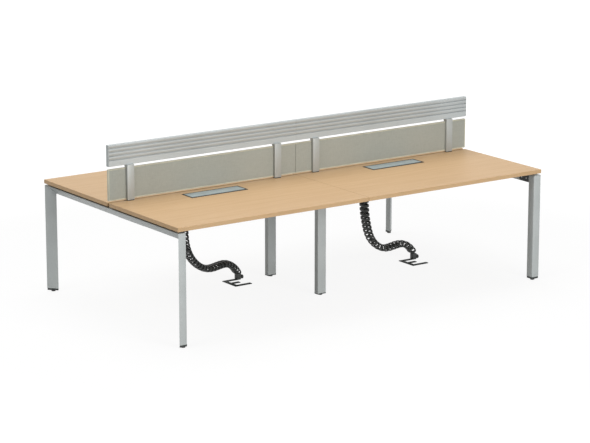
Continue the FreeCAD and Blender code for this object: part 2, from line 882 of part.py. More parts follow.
def spine_foot(places, last, direction):
    # Upright block on the floor plate with a tilted cup for the last ball
    foot_x, foot_y = places[2:]
    block_z = (floor_plate_thickness, last.z - foot_shoulder)
    block = box(centred(foot_x, foot_size), centred(foot_y, foot_size), block_z)
    cup = aligned(column(foot_cup_length), last, direction)
    body = fused(block, cup).cut(aligned(socket(), last, direction))
    bore_radius = around(knob_stem_radius + knob_clearance, knob_stem_sides)
    bore_place = (foot_y, knob_height)
    bore_start = foot_x + foot_size / 2 - knob_stem_length - knob_clearance
    return body.cut(polygon_rod("x", bore_radius, knob_stem_sides, bore_place, bore_start, foot_size))


def spine_knob(places):
    grip = ring_of_points(knob_radius, knob_sides)
    grip_edge = ring_of_points(knob_radius - knob_chamfer, knob_sides)
    head = stacked([(0, grip), (knob_length - knob_chamfer, grip), (knob_length, grip_edge)])
    stem = polygon_rod("z", knob_stem_radius, knob_stem_sides, (0, 0), -knob_stem_length, knob_stem_length)
    place = FreeCAD.Vector(places[2] + foot_size / 2, places[3], knob_height)
    return aligned(fused(head, stem), place, FreeCAD.Vector(1, 0, 0))


def floor_plate(places):
    # E shape: a back bar and three prongs, the far prong under the foot
    foot_x, foot_y = places[2:]
    tip = foot_x + floor_plate_overhang
    back = tip - floor_plate_reach
    far = foot_y + floor_plate_bar / 2
    near = far - floor_plate_depth
    middle = (far + near) / 2
    bar = floor_plate_bar
    outline = [
        (back, near),
        (tip, near),
        (tip, near + bar),
        (back + bar, near + bar),
        (back + bar, middle - bar / 2),
        (back + floor_plate_middle, middle - bar / 2),
        (back + floor_plate_middle, middle + bar / 2),
        (back + bar, middle + bar / 2),
        (back + bar, far - bar),
        (tip, far - bar),
        (tip, far),
        (back, far),
    ]
    return extrude(polygon_face("z", outline, 0), "z", floor_plate_thickness)


link = spine_link()
left_places = spine_places(-1, left_clip_share, left_clip_y, left_foot_reach, left_foot_y)
right_places = spine_places(1, right_clip_share, right_clip_y, right_foot_reach, right_foot_y)
spines = (("left", left_places, left_route_shares), ("right", right_places, right_route_shares))
clips = []
feet = []
floor_plates = []
for side_name, places, route_shares in spines:
    stations = spine_stations(places, route_shares)
    links = []
    for here, ahead in zip(stations, stations[1:]):
        links.append(aligned(link, here, ahead - here))
    save(side_name + "_spine_links", *links)
    clips.append(spine_clip(stations[0]))
    feet.append(spine_foot(places, stations[-1], stations[-1] - stations[-2]))
    floor_plates.append(floor_plate(places))
    save(side_name + "_spine_knob", spine_knob(places))
save("spine_clips", *clips)
save("spine_feet", *feet)
save("spine_floor_plates", *floor_plates)
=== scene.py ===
import math
import random
import bmesh
import bpy
import numpy
from mathutils import Matrix, Vector


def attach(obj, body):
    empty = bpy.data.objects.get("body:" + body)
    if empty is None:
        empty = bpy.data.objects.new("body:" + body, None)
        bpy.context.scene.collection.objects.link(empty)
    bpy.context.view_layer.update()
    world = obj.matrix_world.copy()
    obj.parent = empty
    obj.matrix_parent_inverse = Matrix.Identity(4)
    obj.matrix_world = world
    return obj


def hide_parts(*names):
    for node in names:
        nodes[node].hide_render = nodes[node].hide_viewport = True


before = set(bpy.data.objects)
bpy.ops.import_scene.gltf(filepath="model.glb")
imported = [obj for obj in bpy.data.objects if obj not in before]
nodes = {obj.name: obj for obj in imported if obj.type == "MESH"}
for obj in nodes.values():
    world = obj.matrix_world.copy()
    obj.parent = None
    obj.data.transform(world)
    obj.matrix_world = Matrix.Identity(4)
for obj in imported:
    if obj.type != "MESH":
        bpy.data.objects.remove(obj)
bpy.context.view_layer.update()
chance = random.Random(7)
print("frame loaded:", len(nodes), "nodes")


# a socket that does sums: each operator adds one Math node
class Wire:
    def __init__(self, tree, socket=None):
        self.tree = tree
        self.socket = socket

    # any node: its type, its settings, then values or links for its sockets
    def add(self, kind, settings=None, inputs=None, output=0):
        node = self.tree.nodes.new(kind)
        for key, value in (settings or {}).items():
            setattr(node, key, value)
        for key, value in (inputs or {}).items():
            if isinstance(value, Wire):
                self.tree.links.new(value.socket, node.inputs[key])
            else:
                node.inputs[key].default_value = value
        return Wire(self.tree, node.outputs[output])

    def sum(self, operation, first, second):
        return self.add("ShaderNodeMath", {"operation": operation}, {0: first, 1: second})

    def __add__(self, other):
        return self.sum("ADD", self, other)

    def __radd__(self, other):
        return self.sum("ADD", other, self)

    def __sub__(self, other):
        return self.sum("SUBTRACT", self, other)

    def __rsub__(self, other):
        return self.sum("SUBTRACT", other, self)

    def __mul__(self, other):
        return self.sum("MULTIPLY", self, other)

    def __rmul__(self, other):
        return self.sum("MULTIPLY", other, self)


# colour picked as screen values 0 to 255, turned to linear light
def paint(red, green, blue):
    def linear(value):
        value = value / 255
        return value / 12.92 if value <= 0.04045 else ((value + 0.055) / 1.055) ** 2.4

    return (linear(red), linear(green), linear(blue), 1)


# the same colour, darker or lighter
def shaded(colour, factor):
    return tuple(min(1, factor * value) for value in colour[:3]) + (1,)


class Finish:
    def __init__(self, name, **constants):
        self.material = bpy.data.materials.new(name)
        self.material.use_nodes = True
        self.tree = self.material.node_tree
        self.shader = self.tree.nodes["Principled BSDF"]
        self.wire = Wire(self.tree)
        self.place = self.wire.add("ShaderNodeTexCoord", output="Object")
        for key, value in constants.items():
            self.shader.inputs[key.replace("_", " ")].default_value = value

    def stretched(self, scale):
        return self.wire.add("ShaderNodeMapping", None, {"Vector": self.place, "Scale": scale})

    def noise(self, where, scale, detail=3, rough=0.5):
        inputs = {"Vector": where, "Scale": scale, "Detail": detail, "Roughness": rough}
        return self.wire.add("ShaderNodeTexNoise", None, inputs, "Fac")

    def step(self, value, low, high):
        inputs = {"Value": value, "From Min": low, "From Max": high}
        return self.wire.add("ShaderNodeMapRange", {"interpolation_type": "SMOOTHSTEP"}, inputs, "Result")

    def mix(self, share, first, second):
        return self.wire.add("ShaderNodeMix", {"data_type": "RGBA"}, {0: share, 6: first, 7: second}, 2)

    def bump(self, height, strength, depth):
        inputs = {"Strength": strength, "Distance": depth, "Height": height}
        return self.wire.add("ShaderNodeBump", None, inputs, "Normal")

    def plug(self, name, wire):
        self.tree.links.new(wire.socket, self.shader.inputs[name])


# beech laminate: soft bands along the length, short dark flecks and a satin skin
beechLook = {
    "light": (207, 173, 131), "dark": (200, 165, 122), "fleck": (186, 149, 106),
    "bands": (2.2, 34, 34), "pores": (9, 520, 520), "flecks": (85, 760, 760), "clouds": 1.7,
    "rough": 0.4, "bump": 0.12, "depth": 0.0003,
}


def beechFinish(name, look, shade=1.0):
    finish = Finish(name, Specular_IOR_Level=0.3)
    colours = [look[key] for key in ("light", "dark", "fleck")]
    light, dark, fleck = (paint(*(shade * value for value in colour)) for colour in colours)
    bands = finish.noise(finish.stretched(look["bands"]), 1, 4, 0.55)
    fine = finish.noise(finish.stretched(look["pores"]), 1, 2)
    flecks = finish.step(finish.noise(finish.stretched(look["flecks"]), 1, 1), 0.64, 0.74)
    wide = finish.noise(finish.place, look["clouds"], 2)
    tone = finish.step(bands * 0.55 + fine * 0.3 + wide * 0.15, 0.36, 0.62)
    finish.plug("Base Color", finish.mix(flecks * 0.5, finish.mix(tone, dark, light), fleck))
    finish.plug("Roughness", look["rough"] + fine * 0.12 + flecks * 0.06)
    finish.plug("Normal", finish.bump(fine - flecks * 0.6, look["bump"], look["depth"]))
    return finish.material


# powder coat over steel: fine orange peel with a little metal flake
coatLook = {"sparkle": 3.1, "clouds": 6, "bump": 0.1, "depth": 0.0002}


def coatFinish(name, colour, metal, rough, peel=850, flake=0.1, shine=0.5):
    finish = Finish(name, Metallic=metal, Specular_IOR_Level=shine)
    skin = finish.noise(finish.place, peel, 2)
    sparkle = finish.noise(finish.place, peel * coatLook["sparkle"], 1)
    cloud = finish.noise(finish.place, coatLook["clouds"], 3)
    tone = finish.step(sparkle * 0.7 + cloud * 0.3, 0.3, 0.7)
    finish.plug("Base Color", finish.mix(tone, shaded(colour, 1 - flake), shaded(colour, 1 + flake)))
    finish.plug("Roughness", rough - 0.05 + skin * 0.06 + cloud * 0.05)
    finish.plug("Normal", finish.bump(skin, coatLook["bump"], coatLook["depth"]))
    return finish.material


# drawn aluminium: hair lines along the bar under a satin anodised skin
drawnLook = {
    "lines": (3, 1400, 1400), "clouds": 3, "dark": 0.93, "light": 1.06, "bump": 0.06, "depth": 0.0002,
}


def drawnFinish(name, colour, metal, rough):
    finish = Finish(name, Metallic=metal)
    lines = finish.noise(finish.stretched(drawnLook["lines"]), 1, 2)
    cloud = finish.noise(finish.place, drawnLook["clouds"], 3)
    tone = finish.step(lines * 0.6 + cloud * 0.4, 0.35, 0.65)
    low, high = shaded(colour, drawnLook["dark"]), shaded(colour, drawnLook["light"])
    finish.plug("Base Color", finish.mix(tone, low, high))
    finish.plug("Roughness", rough - 0.06 + lines * 0.12)
    finish.plug("Normal", finish.bump(lines, drawnLook["bump"], drawnLook["depth"]))
    return finish.material


# moulded plastic: spark-eroded grain, slightly cloudy
mouldedLook = {"clouds": 14, "dark": 0.86, "light": 1.12, "bump": 0.18}


def mouldedFinish(name, colour, rough, grain=1100, depth=0.0003):
    finish = Finish(name)
    pebbles = finish.noise(finish.place, grain, 2, 0.6)
    cloud = finish.noise(finish.place, mouldedLook["clouds"], 3)
    tone = finish.step(pebbles * 0.5 + cloud * 0.5, 0.35, 0.65)
    low, high = shaded(colour, mouldedLook["dark"]), shaded(colour, mouldedLook["light"])
    finish.plug("Base Color", finish.mix(tone, low, high))
    finish.plug("Roughness", rough - 0.06 + pebbles * 0.08 + cloud * 0.06)
    finish.plug("Normal", finish.bump(pebbles, mouldedLook["bump"], depth))
    return finish.material


# woven screen cloth: two thread directions over and under, flecked yarn
clothLook = {
    "light": (167, 170, 162), "dark": (151, 154, 146), "thread": 3000, "weftSlubs": (30, 30, 700),
    "warpSlubs": (700, 30, 30), "clouds": 2.2, "bump": 0.35, "depth": 0.0004,
}


def clothFinish(name, look):
    finish = Finish(name, Roughness=0.9, Sheen_Weight=0.18, Sheen_Roughness=0.5)
    along = finish.wire.add("ShaderNodeSeparateXYZ", None, {"Vector": finish.place}, "X")
    upright = Wire(finish.tree, along.socket.node.outputs["Z"])
    warp = finish.wire.sum("SINE", along * look["thread"], 0)
    weft = finish.wire.sum("SINE", upright * look["thread"], 0)
    weave = finish.wire.sum("ABSOLUTE", warp * weft, 0)
    slubX = finish.noise(finish.stretched(look["weftSlubs"]), 1, 2)
    slubZ = finish.noise(finish.stretched(look["warpSlubs"]), 1, 2)
    wide = finish.noise(finish.place, look["clouds"], 2)
    tone = finish.step(slubX * 0.35 + slubZ * 0.35 + wide * 0.2 + weave * 0.1, 0.3, 0.62)
    finish.plug("Base Color", finish.mix(tone, paint(*look["dark"]), paint(*look["light"])))
    finish.plug("Normal", finish.bump(weave * 0.7 + slubX * 0.15 + slubZ * 0.15, look["bump"], look["depth"]))
    return finish.material


# zinc on steel: bright spangle with soft stains
zincLook = {"dark": (0.5, 0.5, 0.49, 1), "light": (0.68, 0.69, 0.7, 1), "spangle": 260, "rough": 0.28}


def zincFinish(name, look):
    finish = Finish(name, Metallic=0.9)
    spangle = finish.noise(finish.place, look["spangle"], 3)
    finish.plug("Base Color", finish.mix(finish.step(spangle, 0.35, 0.65), look["dark"], look["light"]))
    finish.plug("Roughness", look["rough"] + spangle * 0.2)
    return finish.material


beech = beechFinish("beechLaminate", beechLook)
beechEdge = beechFinish("beechEdgeBand", beechLook, 0.95)
silverPaint = coatFinish("silverPowderCoat", paint(176, 181, 180), 0.15, 0.42)
blackSteel = coatFinish("blackPowderCoat", paint(44, 46, 46), 0.0, 0.5, 700, 0.15)
plateCoat = coatFinish("darkPlateCoat", paint(50, 54, 52), 0.0, 0.6, 700, 0.15, 0.15)
aluminium = drawnFinish("satinAluminium", paint(179, 185, 186), 0.35, 0.42)
postPaint = coatFinish("postPowderCoat", paint(168, 172, 170), 0.25, 0.45)
blackPlastic = mouldedFinish("blackPlastic", paint(42, 45, 44), 0.52)
spinePlastic = mouldedFinish("spinePlastic", paint(38, 41, 39), 0.45, 900)
lidPlastic = mouldedFinish("flapLidPlastic", paint(161, 173, 173), 0.46)
framePlastic = mouldedFinish("flapFramePlastic", paint(36, 38, 37), 0.6)
capPlastic = mouldedFinish("railCapPlastic", paint(176, 182, 182), 0.45)
creamTrim = mouldedFinish("creamTrim", paint(192, 191, 172), 0.42, 700, 0.0001)
screenCloth = clothFinish("screenCloth", clothLook)
zinc = zincFinish("zincPlate", zincLook)
bristles = mouldedFinish("bristles", paint(40, 42, 41), 0.6, 1600)
print("finishes made")

# what each CAD node that stays on show is finished with
shownFinishes = {
    beech: ["front_left_top", "front_right_top", "rear_left_top", "rear_right_top"],
    beechEdge: ["top_edge_bands"],
    silverPaint: ["mid_beam", "left_cable_tray", "right_cable_tray"],
    blackSteel: [
        "front_left_rail", "front_right_rail", "rear_left_rail", "rear_right_rail",
        "rail_end_plates", "top_brackets", "tray_hangers", "post_clamps",
    ],
    blackPlastic: [
        "top_spacers", "leg_end_caps",
        "left_front_glide", "left_rear_glide", "mid_front_glide",
        "mid_rear_glide", "right_front_glide", "right_rear_glide",
    ],
    capPlastic: ["tool_rail_caps"],
    zinc: ["rail_bolts", "clamp_screws", "tool_rail_joiner"],
    spinePlastic: ["spine_clips"],
}
for material, names in shownFinishes.items():
    for name in names:
        nodes[name].data.materials.clear()
        nodes[name].data.materials.append(material)


# modelling helpers, all in millimetres until a piece is shipped
craft = {"closeEnough": 0.1, "longEdge": 100, "weld": 0.001, "metres": 0.001, "smoothAngle": 35}


def edgesOf(verts):
    return list(dict.fromkeys(edge for vert in verts for edge in vert.link_edges))


def ease(bm, edges, offset, segments=3):
    bmesh.ops.bevel(
        bm, geom=list(edges), offset=offset, offset_type="OFFSET", affect="EDGES",
        segments=segments, profile=0.5, material=-1, clamp_overlap=True,
    )


def block(bm, low, high):
    low, high = Vector(low), Vector(high)
    verts = bmesh.ops.create_cube(bm, size=1)["verts"]
    bmesh.ops.scale(bm, vec=high - low, verts=verts)
    bmesh.ops.translate(bm, vec=(low + high) / 2, verts=verts)
    return verts


def softBlock(bm, low, high, rounding, segments=3):
    ease(bm, edgesOf(block(bm, low, high)), rounding, segments)


# outline in the two other axes, drawn out along one axis
def slab(bm, outline, axis, start, length):
    spot = {
        "x": lambda u, v: (start, u, v),
        "y": lambda u, v: (u, start, v),
        "z": lambda u, v: (u, v, start),
    }[axis]
    way = {"x": Vector((1, 0, 0)), "y": Vector((0, 1, 0)), "z": Vector((0, 0, 1))}[axis]
    first = [bm.verts.new(spot(u, v)) for u, v in outline]
    made = bmesh.ops.extrude_face_region(bm, geom=[bm.faces.new(first)])
    last = [item for item in made["geom"] if isinstance(item, bmesh.types.BMVert)]
    bmesh.ops.translate(bm, vec=way * length, verts=last)
    return first + last


# profile of radius and height, turned about Z
def turned(bm, profile, steps):
    verts = [bm.verts.new((radius, 0, height)) for radius, height in profile]
    edges = [bm.edges.new(pair) for pair in zip(verts, verts[1:])]
    before = set(bm.verts) - set(verts)
    bmesh.ops.spin(
        bm, geom=verts + edges, cent=(0, 0, 0), axis=(0, 0, 1),
        angle=2 * math.pi, steps=steps, use_merge=True,
    )
    fresh = [vert for vert in bm.verts if vert not in before]
    bmesh.ops.remove_doubles(bm, verts=fresh, dist=craft["weld"])


def mirrored(bm, axis):
    flip = {"x": (-1, 1, 1), "y": (1, -1, 1)}[axis]
    bmesh.ops.scale(bm, vec=flip, verts=bm.verts)


def copyInto(target, source, place=None):
    mesh = bpy.data.meshes.new("copy")
    source.to_mesh(mesh)
    if place:
        mesh.transform(place)
    target.from_mesh(mesh)
    bpy.data.meshes.remove(mesh)


# frame along a direction: Z on it, X kept near +Y
def aimed(place, direction):
    along = Vector(direction).normalized()
    across = (Vector((0, 1, 0)) - along * along.y).normalized()
    turn = Matrix((across, along.cross(across), along)).transposed()
    return Matrix.Translation(place) @ turn.to_4x4()


def ship(name, bm, material, body, slot, *replaced):
    bmesh.ops.recalc_face_normals(bm, faces=bm.faces)
    bmesh.ops.scale(bm, vec=3 * (craft["metres"],), verts=bm.verts)
    for face in bm.faces:
        face.smooth = True
    for edge in bm.edges:
        edge.smooth = edge.calc_face_angle(0) < math.radians(craft["smoothAngle"])
    mesh = bpy.data.meshes.new(name)
    bm.to_mesh(mesh)
    bm.free()
    mesh.materials.append(material)
    piece = bpy.data.objects.new(name, mesh)
    bpy.context.scene.collection.objects.link(piece)
    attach(piece, body)
    if replaced:
        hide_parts(*replaced)
    return piece


def longEdges(verts, axis):
    index = "xyz".index(axis)
    ends = [(edge, edge.verts[0].co[index], edge.verts[1].co[index]) for edge in edgesOf(verts)]
    return [edge for edge, first, last in ends if abs(first - last) > craft["longEdge"]]


def isUpright(edge):
    return abs(edge.verts[0].co.z - edge.verts[1].co.z) > craft["closeEnough"]


# end frames: right-triangle tube, mitred at the corner with a fine joint line
endFrame = {
    "inner": 1343, "front": 798, "top": 704, "tube": 55, "rounding": 7, "roundingSteps": 4,
    "tip": 1.6, "tipSteps": 2, "tipAngle": 2, "legBottom": 20, "joint": 0.6, "cutSnap": 0.01, "cutWeld": 0.05,
}


# square corner well rounded, the two sharp tips only eased
def easeTube(bm, verts, axis, look):
    bm.normal_update()
    square = math.pi / 2
    corner = [e for e in longEdges(verts, axis) if abs(e.calc_face_angle() - square) < craft["closeEnough"]]
    ease(bm, corner, look["rounding"], look["roundingSteps"])
    bm.normal_update()
    tips = [e for e in longEdges(bm.verts, axis) if e.calc_face_angle() > look["tipAngle"]]
    ease(bm, tips, look["tip"], look["tipSteps"])


def cutMitre(bm, point, normal, look):
    geom = bm.verts[:] + bm.edges[:] + bm.faces[:]
    bmesh.ops.bisect_plane(
        bm, geom=geom, dist=look["cutSnap"], plane_co=point, plane_no=normal, clear_outer=True,
    )
    bmesh.ops.remove_doubles(bm, verts=bm.verts, dist=look["cutWeld"])
    rim = [e for e in bm.edges if e.is_boundary]
    bmesh.ops.holes_fill(bm, edges=rim)
    ease(bm, rim, look["joint"], 1)


def cornerLeg(look):
    bm = bmesh.new()
    x, y, size = -look["inner"], -look["front"], look["tube"]
    outline = [(x - size, y), (x, y), (x, y + size)]
    verts = slab(bm, outline, "z", look["legBottom"], look["top"] - look["legBottom"])
    easeTube(bm, verts, "z", look)
    cutMitre(bm, (0, y, look["top"]), (0, 1, 1), look)
    return bm


def endBeam(look):
    bm = bmesh.new()
    x, size = -look["inner"], look["tube"]
    outline = [(x - size, look["top"]), (x, look["top"]), (x, look["top"] - size)]
    verts = slab(bm, outline, "y", -look["front"], 2 * look["front"])
    easeTube(bm, verts, "y", look)
    cutMitre(bm, (0, -look["front"], look["top"]), (0, -1, -1), look)
    cutMitre(bm, (0, look["front"], look["top"]), (0, 1, -1), look)
    return bm


for side in ("left", "right"):
    for end in ("front", "rear"):
        leg = cornerLeg(endFrame)
        if end == "rear":
            mirrored(leg, "y")
        if side == "right":
            mirrored(leg, "x")
        name = f"{side}_{end}_leg"
        ship(name + "_tube", leg, silverPaint, "desk", "silver_paint", name)
    beam = endBeam(endFrame)
    if side == "right":
        mirrored(beam, "x")
    ship(side + "_beam_tube", beam, silverPaint, "desk", "silver_paint", side + "_beam")

# middle frame legs: flat rectangular tube
midLeg = {"length": 65, "depth": 39, "offset": 282, "bottom": 14, "top": 704, "rounding": 4, "steps": 4}
for end, way in (("front", -1), ("rear", 1)):
    bm = bmesh.new()
    x, y = midLeg["length"] / 2, midLeg["depth"] / 2
    middle = way * midLeg["offset"]
    verts = block(bm, (-x, middle - y, midLeg["bottom"]), (x, middle + y, midLeg["top"]))
    ease(bm, longEdges(verts, "z"), midLeg["rounding"], midLeg["steps"])
    ship(f"mid_{end}_leg_tube", bm, silverPaint, "desk", "silver_paint", f"mid_{end}_leg")
print("frames made")

# bracket screws: two domed heads on each corner bracket
bracketScrew = {
    "face": 1340, "start": 741, "spots": (22, 66), "level": 676, "steps": 16,
    "head": [(0, 2.2), (1.8, 2.1), (3.2, 1.6), (4.0, 0.7), (4.2, -0.3), (0, -0.3)],
}
screws = bmesh.new()
head = bmesh.new()
turned(head, bracketScrew["head"], bracketScrew["steps"])
for sideX in (-1, 1):
    for sideY in (-1, 1):
        for spot in bracketScrew["spots"]:
            y = sideY * (bracketScrew["start"] - spot)
            place = (sideX * bracketScrew["face"], y, bracketScrew["level"])
            copyInto(screws, head, aimed(place, (-sideX, 0, 0)))
head.free()
ship("bracket_screws", screws, zinc, "desk", "zinc_bolt")

# access flaps: bezel frame, hinged lid and two rows of bristles
flap = {
    "x": 700.5, "y": 129, "length": 418, "depth": 122, "mouthLength": 398.2, "mouthDepth": 102.2,
    "top": 742.5, "desk": 740, "bottom": 712, "wall": 2.5, "corner": 3, "rim": 0.7, "collarLap": 0.5,
    "ledge": 5, "ledgeHeight": 2, "ledgeSetback": 12, "ledgeEase": 0.4,
    "lidBottom": 738.5, "lidFront": 167.1, "lidPast": 2, "lidEase": 0.9, "gap": 0.8,
    "lipBottom": 732.5, "lipDepth": 2, "lipLap": 1, "lipEase": 0.5,
    "hinge": 80.7, "pin": 1.2, "pinLength": 5, "pinSides": 12,
}
bristleRow = {
    "holder": 3, "bottom": 728.5, "top": 740.5, "ease": 0.4, "root": 0.5, "tip": 168.6, "uneven": 0.9,
    "tuft": 2.6, "levels": (738.6, 736.8), "halfWidth": 0.9, "halfHeight": 0.7, "taper": 0.6,
    "lean": 1, "droop": (-0.7, 0.4),
}


# flat ring on a level, drawn up to its height; a corner of 0 leaves it square
def ringSlab(bm, length, depth, wall, low, high, middle, corner):
    x, y = length / 2, depth / 2
    outline = [(-x, -y), (x, -y), (x, y), (-x, y)]
    verts = [bm.verts.new((middle[0] + u, middle[1] + v, low)) for u, v in outline]
    face = bm.faces.new(verts)
    face.normal_update()
    bmesh.ops.inset_individual(bm, faces=[face], thickness=wall, depth=0, use_even_offset=True)
    rim = list(dict.fromkeys(f for v in verts for f in v.link_faces))
    bmesh.ops.delete(bm, geom=[face], context="FACES_ONLY")
    made = bmesh.ops.extrude_face_region(bm, geom=rim)
    top = [item for item in made["geom"] if isinstance(item, bmesh.types.BMVert)]
    bmesh.ops.translate(bm, vec=(0, 0, high - low), verts=top)
    if corner:
        ease(bm, [e for v in verts for e in v.link_edges if isUpright(e)], corner)


def flapFrame(look):
    bm = bmesh.new()
    middle = (-look["x"], -look["y"])
    flange = (look["length"] - look["mouthLength"]) / 2
    ringSlab(bm, look["length"], look["depth"], flange, look["desk"], look["top"], middle, look["corner"])
    upper = [v for v in bm.verts if abs(v.co.z - look["top"]) < craft["closeEnough"]]
    level = [e for e in edgesOf(upper) if not isUpright(e) and len(e.link_faces) == 2]
    ease(bm, [e for e in level if e.calc_face_angle(0) > 0.5], look["rim"], 2)
    wall, collarTop = look["wall"], look["desk"] + look["collarLap"]
    collarLength, collarDepth = look["mouthLength"] + 2 * wall, look["mouthDepth"] + 2 * wall
    ringSlab(bm, collarLength, collarDepth, wall, look["bottom"], collarTop, middle, 0)
    front, rear = -look["y"] - look["mouthDepth"] / 2, -look["hinge"] - look["ledgeSetback"]
    for way in (-1, 1):
        outer = middle[0] + way * look["mouthLength"] / 2
        inner = outer - way * look["ledge"]
        low = (min(outer, inner), front, look["lidBottom"] - look["ledgeHeight"])
        softBlock(bm, low, (max(outer, inner), rear, look["lidBottom"]), look["ledgeEase"], 1)
    return bm


def flapLid(look):
    bm = bmesh.new()
    half = look["mouthLength"] / 2 - look["gap"]
    x, front = -look["x"], -look["lidFront"]
    low = (x - half, front, look["lidBottom"])
    softBlock(bm, low, (x + half, -look["hinge"] + look["lidPast"], look["top"]), look["lidEase"])
    lip = half - look["ledge"]
    high = (x + lip, front + look["lipDepth"], look["lidBottom"] + look["lipLap"])
    softBlock(bm, (x - lip, front, look["lipBottom"]), high, look["lipEase"], 2)
    level = (look["lidBottom"] + look["top"]) / 2
    for way in (-1, 1):
        bmesh.ops.create_cone(
            bm, cap_ends=True, segments=look["pinSides"], radius1=look["pin"], radius2=look["pin"],
            depth=look["pinLength"], matrix=aimed((x + way * half, -look["hinge"], level), (way, 0, 0)),
        )
    return bm


# two rows of tapered tufts that stand out of a holder
def flapBrush(look, row):
    bm = bmesh.new()
    x = -look["x"]
    half = look["mouthLength"] / 2 - look["ledge"] - look["gap"]
    front = -look["y"] - look["mouthDepth"] / 2
    high = (x + half, front + row["holder"], row["top"])
    softBlock(bm, (x - half, front, row["bottom"]), high, row["ease"], 1)
    root = front + row["holder"] - row["root"]
    wide, thick, taper = row["halfWidth"], row["halfHeight"], row["taper"]
    count = int(2 * half / row["tuft"])
    for number in range(count):
        middle = x - half + (number + 0.5) * 2 * half / count
        for level in row["levels"]:
            lean = chance.uniform(-row["lean"], row["lean"])
            droop = chance.uniform(*row["droop"])
            tip = -row["tip"] - chance.uniform(0, row["uneven"])
            verts = block(bm, (middle - wide, root, level - thick), (middle + wide, tip, level + thick))
            ends = [v for v in verts if v.co.y > root + 1]
            about = Matrix.Translation((-middle, 0, -level))
            bmesh.ops.scale(bm, vec=(taper, 1, taper), verts=ends, space=about)
            bmesh.ops.translate(bm, vec=(lean, 0, droop), verts=ends)
    return bm


brushes = bmesh.new()
for corner, flips in (("front_left", ""), ("front_right", "x"), ("rear_left", "y"), ("rear_right", "xy")):
    bezel, lid, brush = flapFrame(flap), flapLid(flap), flapBrush(flap, bristleRow)
    for bm in (bezel, lid, brush):
        for axis in flips:
            mirrored(bm, axis)
    ship(corner + "_bezel", bezel, framePlastic, "desk", "black_plastic", corner + "_flap_frame")
    ship(corner + "_lid_plate", lid, lidPlastic, corner + "_lid", "grey_plastic", corner + "_flap_lid")
    copyInto(brushes, brush)
    brush.free()
ship("flap_bristles", brushes, bristles, "desk", "brush", "flap_brushes")
print("flaps made")

# screen: padded cloth panels in a cream edge trim
screen = {
    "half": 1400, "seam": 1, "bottom": 750, "top": 948, "trim": 7, "trimFace": 9,
    "cloth": 8, "crown": 0.7, "trimRounding": 2, "clothEase": 1.6, "cuts": 11, "faceArea": 10000,
    "crownAlong": 8, "crownUp": 4,
}


def screenTrim(look):
    bm = bmesh.new()
    end, seam, low, high, trim = -look["half"], -look["seam"], look["bottom"], look["top"], look["trim"]
    outline = [
        (seam, low), (end, low), (end, high), (seam, high),
        (seam, high - trim), (end + trim, high - trim), (end + trim, low + trim), (seam, low + trim),
    ]
    verts = slab(bm, outline, "y", -look["trimFace"], 2 * look["trimFace"])
    free = [e for e in edgesOf(verts) if any(abs(v.co.x - seam) > 1 for v in e.verts)]
    ease(bm, free, look["trimRounding"])
    return bm


def screenPanel(look):
    bm = bmesh.new()
    low = (-look["half"] + look["trim"], -look["cloth"], look["bottom"] + look["trim"])
    high = (-look["seam"], look["cloth"], look["top"] - look["trim"])
    softBlock(bm, low, high, look["clothEase"])
    flat = [f for f in bm.faces if f.calc_area() > look["faceArea"] and abs(f.normal.y) > 0.9]
    rims = list(dict.fromkeys(e for f in flat for e in f.edges))
    bmesh.ops.subdivide_edges(bm, edges=rims, cuts=look["cuts"], use_grid_fill=True)
    for vert in bm.verts:
        along = (vert.co.x - low[0]) / (high[0] - low[0]) * 2 - 1
        up = (vert.co.z - low[2]) / (high[2] - low[2]) * 2 - 1
        if abs(abs(vert.co.y) - look["cloth"]) < craft["closeEnough"]:
            swell = (1 - abs(along) ** look["crownAlong"]) * (1 - abs(up) ** look["crownUp"])
            vert.co.y += math.copysign(look["crown"] * swell, vert.co.y)
    return bm


trims = bmesh.new()
for side in ("left", "right"):
    panel, trim = screenPanel(screen), screenTrim(screen)
    if side == "right":
        mirrored(panel, "x")
        mirrored(trim, "x")
    copyInto(trims, trim)
    trim.free()
    cloth = ship(side + "_screen_cloth", panel, screenCloth, "desk", "screen_fabric", side + "_screen_panel")
ship("screen_trims", trims, creamTrim, "desk", "cream_trim", "panel_trims")

# screen posts: an upright before the panel with a saddle over it
post = {
    "places": (-1250, -150, 150, 1250), "width": 50, "front": -27, "rear": -9, "saddle": 9,
    "foot": 744, "under": 950, "top": 966, "rounding": 2,
}
posts = bmesh.new()
for place in post["places"]:
    bm = bmesh.new()
    outline = [
        (post["front"], post["foot"]), (post["rear"], post["foot"]), (post["rear"], post["under"]),
        (post["saddle"], post["under"]), (post["saddle"], post["top"]), (post["front"], post["top"]),
    ]
    verts = slab(bm, outline, "x", place - post["width"] / 2, post["width"])
    ease(bm, edgesOf(verts), post["rounding"])
    copyInto(posts, bm)
    bm.free()
ship("screen_uprights", posts, postPaint, "desk", "silver_aluminium", "screen_posts")
print("screen made")

# tool rail: two lengths of slatted bar, each slat rounded over towards the slot below it
toolRail = {
    "start": 0.5, "end": 1397, "half": 14, "bottom": 966, "top": 1100, "slots": (1078, 1053.5, 1029, 1004.5),
    "mouth": 4.4, "recess": 9, "roll": 3.0, "rollSteps": 5, "rollHeight": 12, "edge": 1.2, "slatEdge": 0.5,
}


def railFace(look):
    half, edge, slatEdge = look["half"], look["edge"], look["slatEdge"]
    points = [(half - edge, look["top"]), (half, look["top"] - edge)]
    for slot in look["slots"]:
        lip, sill = slot + look["mouth"] / 2, slot - look["mouth"] / 2
        for number in range(look["rollSteps"] + 1):
            turn = number / look["rollSteps"]
            points.append((half - look["roll"] * turn ** 2, lip + look["rollHeight"] * (1 - turn)))
        back = half - look["recess"]
        points += [(back, lip), (back, sill), (half - slatEdge, sill), (half, sill - slatEdge)]
    return points + [(half, look["bottom"] + edge), (half - edge, look["bottom"])]


